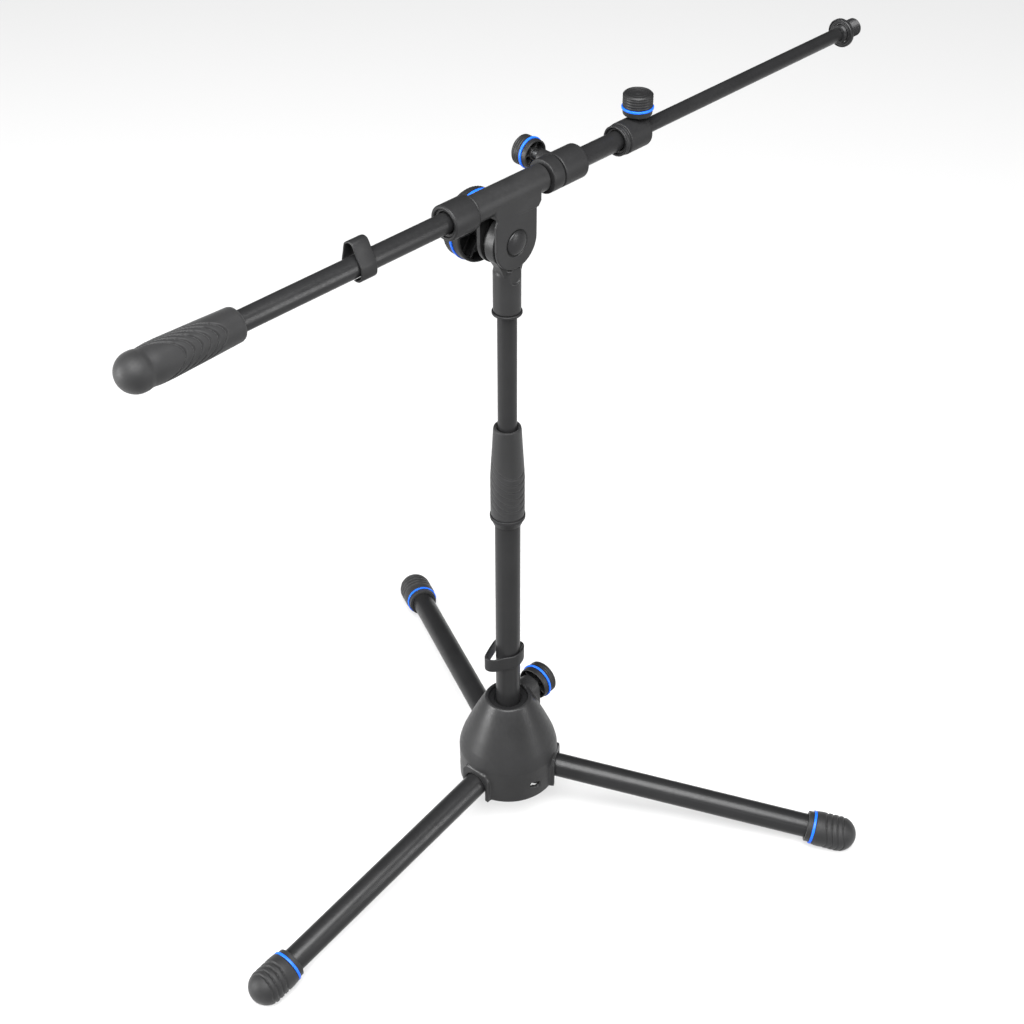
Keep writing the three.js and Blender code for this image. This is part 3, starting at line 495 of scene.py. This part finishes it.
def knob_rings(profile, low, high, pitch, depth):
    """Circumferential grooves in a knob's side."""
    out = []
    for radius, height in profile:
        inside = low < height < high
        dip = notch(np.array(((height - low) % pitch) - pitch / 2), pitch * 0.6, depth) if inside else 0
        out.append((radius - float(dip), height))
    return out


cup = [
    (0, 37.5), (4.3, 37.5), (4.3, 11.3), (8, 11.3), (8.6, 35), (25.4, 35), (26.2, 24), (27.6, 24), (28.4, 25.2), (28.4, 31.5),
    (27, 31.5), (27, 34.5), (28.4, 34.5), (28.4, 41), (26.4, 43), (24.6, 43), (23.8, 41.8), (9, 41.8), (8.4, 42.6),
    (0, 42.6),
]
face = spun(dense(fillet(cup, 0.5), 1.0), 180, ring=False, warp=knurl(60, 0.55, 34.8, 42.4, 27))
ribs = []
for k in range(6):
    spoke = Matrix.Rotation(math.pi / 3 * k, 4, "Z")
    ribs.append((block((8, 26), (-0.9, 0.9), (26, 36)), AT_PIVOT @ spoke))
moulded("tilt_knob", [(face, AT_PIVOT), *ribs], [], 0.6, 1)
piece("tilt_knob_ring", tube(29.1, 27.3, 31.8, 34.2, 128, 0.8), AT_PIVOT)

# ------------------------------------------------------------------ boom sleeve
TOP = BOOM_Z - PIVOT_Z


def cheek(start, end):
    """Straight sides, round below, a hook at its upper rear corner and a step at the front one."""
    outline = [(27, TOP), (-22, TOP), (-22, TOP - 9), (-20.4, TOP - 12.6), (-21.4, TOP - 15.4), (-22, TOP - 17)]
    outline += [*arc((0, 0), 22, 180, 360, 48), (22, TOP - 15.6), (23.4, TOP - 14.6), (24.2, TOP - 13), (27, TOP - 10.8)]
    return slab([(x, PIVOT_Z + z) for x, z in outline], start, end)


barrel = fillet([(9.3, -40.3), (11, -40.3), (11, 37), (9.3, 37)], 0.4, ring=True)
web = block((-18, 18), (-9.6, 10.6), (PIVOT_Z + 24.3, BOOM_Z - 4))
pad_face = [(-14, -10.7, TOP - 14), (23, -11.7, TOP - 15), (26, -11.6, TOP - 11), (24, -10.8, TOP - 1), (-14, -10.6, TOP - 1)]
pad_points = [(x, y, PIVOT_Z + z) for x, y, z in pad_face] + [(x, -8.6, PIVOT_Z + z) for x, y, z in pad_face]
pad = (pad_points, [(0, 1, 2, 3, 4), (9, 8, 7, 6, 5), *[(i, (i + 1) % 5, 5 + (i + 1) % 5, 5 + i) for i in range(5)]])
moulded(
    "boom_sleeve",
    [
        (spun(barrel, 96), ON_BOOM), (cheek(-10.9, -8.4),), (cheek(7, 10.9),), (web,),
        (pad,),
    ],
    [
        (plug(9.3, -50, 50, 64), ON_BOOM), (plug(4.3, -20, 30, 48), AT_PIVOT),
        (plug(11, -20, -9.9, 96, 0.1), AT_PIVOT),
    ], 0.5, 3,
)
rear = [
    (8.6, -64), (10.8, -64), (10.8, -65.4), (11.4, -66), (13, -66), (14, -65), (14, -42.6), (13.4, -42.2),
    (13.4, -41.5), (13.9, -41.1), (13.6, -40.6), (9.3, -40.6), (8.6, -44.3),
]
piece("rear_collar", spun(fillet(rear, 0.8, ring=True)), ON_BOOM)
piece("clamp_ring", tube(14, 8.6, 38.2, 50.2, 96, 0.9), ON_BOOM)
front = [(8.6, 51.4), (14, 51.4), (14, 76.2), (13.2, 77), (10.8, 77), (10.8, 75), (8.6, 75)]
TO_SLIDE_KNOB = Matrix.Translation((62, 0, BOOM_Z)) @ ALONG_Y
moulded(
    "front_collar", [(spun(fillet(front, 0.8, ring=True)), ON_BOOM), (plug(6.5, 11, 24, 48, 0.8), TO_SLIDE_KNOB)],
    [(plug(8.6, 45, 90, 64), ON_BOOM), (plug(3.4, 4, 30, 32), TO_SLIDE_KNOB)], 0.5, 3,
)

# ------------------------------------------------------------------ boom
TO_CAMERA = math.radians(-116.6)


def grip_wave(angle, radius, height):
    """Six chevron grooves that point forward on the side that is seen."""
    back = 27 * (1 - np.sqrt(np.cos(angle - TO_CAMERA) ** 2 + 0.015))
    cut = np.zeros_like(radius)
    for k in range(6):
        cut += notch(height - (-311 + 6.9 * k - back), 2.6, 1.2)
    skin = np.clip((radius - 10) / 1, 0, 1) * np.clip((height + 340) / 4, 0, 1)
    valley = 0.7 * np.exp(-((height + 336.5) / 5.5) ** 2)
    return radius - (cut + valley) * skin, height


dome = [(14.6 * math.sin(a), -342.4 - 14.6 * math.cos(a)) for a in np.linspace(math.pi / 2, 0, 16)]
dome[-1] = (0, dome[-1][1])
handle = [(0, -345.3), (8.3, -345.3), (8.3, -259.5), (12, -259.5), (12.8, -261.5), (13.6, -285), (14.6, -319)]
handle = fillet(handle, 0.9) + dome
piece("boom_grip", spun(dense(handle, 0.6), 160, ring=False, warp=grip_wave), ON_BOOM)
BOOM_CLIP = [
    (-10.7, 1.6), (-8.9, 8.6), (-7.3, 15.8), (-6.1, 17.4), (-2.6, 18.9), (0.5, 18.3), (2.5, 15.5),
    (4.9, 10.4), (7.3, 6), (9, 2.8), (9.5, 0), (9.6, -3), (8.9, -6.2), (6.1, -9), (1.2, -9.8),
]
boom_clip_at = Matrix.Translation((-148, 0, BOOM_Z)) @ Matrix.Rotation(-math.pi / 2, 4, "Z")
piece("boom_cable_clip", ribbon(BOOM_CLIP, 1.6, 15), boom_clip_at @ Matrix.Rotation(math.pi / 2, 4, "X"))
collar = [
    (8.3, 124), (10.6, 124), (10.6, 122.4), (11, 122), (12, 122), (12.6, 122.5), (12.6, 123.2), (11.9, 123.7),
    (12.6, 124.2), (12.7, 126.4), (11.5, 126.8), (11.5, 127.7), (13.1, 128.1), (13.2, 128.8), (13.2, 152),
    (12.2, 153), (6.3, 153), (6.3, 144.1), (8.3, 144.1),
]
TO_EXTENSION_KNOB = Matrix.Translation((148, 0, BOOM_Z))
moulded(
    "extension_collar",
    [(spun(fillet(collar, 0.4, ring=True), 96), ON_BOOM), (plug(5, 12, 15.2, 48, 0.5), TO_EXTENSION_KNOB)],
    [(plug(3.4, 3, 20, 32), TO_EXTENSION_KNOB), (plug(6.3, 100, 200, 64), ON_BOOM)], 0.45, 2,
)


def thread(angle, radius, height):
    """A right-hand thread on the stud."""
    along = (height - 0.94 * angle / (2 * math.pi)) % 0.94 / 0.94
    wave = np.abs(along * 2 - 1)
    on = np.clip((height - 416) / 0.8, 0, 1) * np.clip((440.3 - height) / 0.8, 0, 1)
    skin = np.clip((radius - 7) / 0.3, 0, 1)
    return radius - 0.5 * wave * on * skin, height


stud = [(0, 397), (4.7, 397), (4.7, 415.3), (7.94, 415.3), (7.94, 440), (6.94, 441), (4.2, 441), (3.6, 440), (0, 440)]
stud_body = spun(dense(fillet(stud, 0.15), 0.2), 72, ring=False, warp=thread)
piece("thread_stud", stud_body, ON_BOOM, 25)
nut = [
    (8.24, 419.5), (9.4, 419.5), (9.8, 420.6), (11.2, 420.6), (11.6, 419.6), (12.1, 419.7), (12.6, 420.4),
    (12.6, 422.8), (11.9, 424), (8.24, 424),
]
piece("lock_nut", spun(fillet(nut, 0.35, ring=True), 96), ON_BOOM)


# ------------------------------------------------------------------ clamp knobs
def clamp_knob(prefix, radius, ring_radius, ring_after, length, mouth, pad, place):
    ring_at, end = mouth + ring_after, mouth + length
    groove = radius - 1.1
    wall = radius - 1.8
    outline = [
        (0, end - 3), (3.3, end - 3), (3.3, mouth + 1), (5, mouth + 1), (5.4, mouth + 8.5), (wall, mouth + 8.5),
        (wall, mouth), (radius - 0.5, mouth), (radius, ring_at - 1.2), (groove, ring_at - 1.2),
        (groove, ring_at + 1.2), (radius, ring_at + 1.2), (radius, end - 1.4), (radius - 1.4, end),
        (radius - 2.6, end), (radius - 3.2, end - 0.8), (radius * 0.62, end - 0.8), (radius * 0.58, end - 0.3),
        (radius * 0.5, end - 0.3), (radius * 0.46, end - 0.8), (radius * 0.2, end - 0.8), (radius * 0.16, end - 0.3),
        (0, end - 0.3),
    ]
    profile = dense(fillet(outline, 0.35), 0.4)
    start, stop = ring_at + 2, end - 1.6
    grooved = []
    for r, h in profile:
        on_side = r > radius - 0.3 and start < h < stop
        dip = float(notch(np.array(((h - start) % 2.2) - 1.1), 1.4, 0.5)) if on_side else 0
        grooved.append((r - dip, h))
    ribs = []
    for k in range(6):
        spoke = Matrix.Rotation(math.pi / 3 * k, 4, "Z")
        ribs.append((block((5, wall + 0.5), (-0.6, 0.6), (mouth + 2.5, mouth + 9)), place @ spoke))
    moulded(f"{prefix}_knob", [(spun(grooved, 96, ring=False), place), *ribs], [], 0.4, 1)
    piece(f"{prefix}_knob_ring", tube(ring_radius, groove + 0.3, ring_at - 0.95, ring_at + 0.95, 96, 0.6), place)
    piece(f"{prefix}_clamp_screw", plug(3, pad + 2.3, end - 3.3, 32, 0.3), place)


SMALL = (12.2, 13, 5.5, 16)
clamp_knob("base", 15.8, 16.7, 6.6, 16.4, 34.3, 11.3, KNOB_TURN @ boss @ ALONG_X)
clamp_knob("slide", *SMALL, 29, 8.3, TO_SLIDE_KNOB)
clamp_knob("extension", 12.2, 13, 5.5, 17.6, 15.5, 6.3, TO_EXTENSION_KNOB)

# ------------------------------------------------------------------ floor, light and camera
floor_shape = [(-6000, -6000, -ORIGIN.z), (6000, -6000, -ORIGIN.z), (6000, 6000, -ORIGIN.z), (-6000, 6000, -ORIGIN.z)]
floor = temporary((floor_shape, [(0, 1, 2, 3)]))
floor.data.transform(Matrix.Scale(0.001, 4) @ PLACE)
floor.name = "floor"
white = bpy.data.materials.new("floor_white")
white.use_nodes = True
white.node_tree.nodes["Principled BSDF"].inputs["Base Color"].default_value = (0.16, 0.16, 0.16, 1)
white.node_tree.nodes["Principled BSDF"].inputs["Roughness"].default_value = 0.9
white.node_tree.nodes["Principled BSDF"].inputs["Emission Color"].default_value = (1, 1, 1, 1)
white.node_tree.nodes["Principled BSDF"].inputs["Emission Strength"].default_value = 0.5
floor.data.materials.append(white)

world = bpy.data.worlds.new("studio")
bpy.context.scene.world = world
world.use_nodes = True
tree = world.node_tree
background = tree.nodes["Background"]
background.inputs["Strength"].default_value = 1.0
where = tree.nodes.new("ShaderNodeTexCoord")
facing = tree.nodes.new("ShaderNodeVectorMath")
facing.operation = "DOT_PRODUCT"
facing.inputs[1].default_value = (-0.6, -0.58, 0.55)
tree.links.new(where.outputs["Generated"], facing.inputs[0])
glow = tree.nodes.new("ShaderNodeMapRange")
glow.interpolation_type = "SMOOTHSTEP"
glow.inputs["From Min"].default_value = -0.1
glow.inputs["From Max"].default_value = 0.9
glow.inputs["To Min"].default_value = 0.03
glow.inputs["To Max"].default_value = 0.8
tree.links.new(facing.outputs["Value"], glow.inputs["Value"])
tree.links.new(glow.outputs["Result"], background.inputs["Color"])


def softbox(name, at, size, power):
    lamp = bpy.data.lights.new(name, "AREA")
    lamp.shape = "RECTANGLE"
    lamp.size, lamp.size_y = size
    lamp.energy = power
    made = bpy.data.objects.new(name, lamp)
    bpy.context.scene.collection.objects.link(made)
    made.location = at
    aim = Vector((0, 0, 0.3)) - Vector(at)
    made.rotation_euler = aim.to_track_quat("-Z", "Y").to_euler()
    return made


softbox("front_top", (-0.85, -0.85, 2.4), (2.4, 2.0), 400)
softbox("left_side", (-2.3, 1.3, 0.8), (0.7, 1.5), 200)
softbox("right_side", (1.0, -2.3, 0.9), (0.4, 1.6), 60)

camera = bpy.data.objects.new("camera", bpy.data.cameras.new("camera"))
bpy.context.scene.collection.objects.link(camera)
bpy.context.scene.camera = camera
camera.data.lens = 64.81
camera.data.sensor_width = 36
camera.data.shift_x = -0.0023
camera.data.shift_y = 0.0017
camera.data.clip_end = 50
camera.location = (Vector((-890.5, -870.9, 1292.1)) + ORIGIN) * 0.001
camera.rotation_euler = (math.radians(52.729), 0, math.radians(-45.9))
bpy.context.scene.view_settings.view_transform = "Standard"
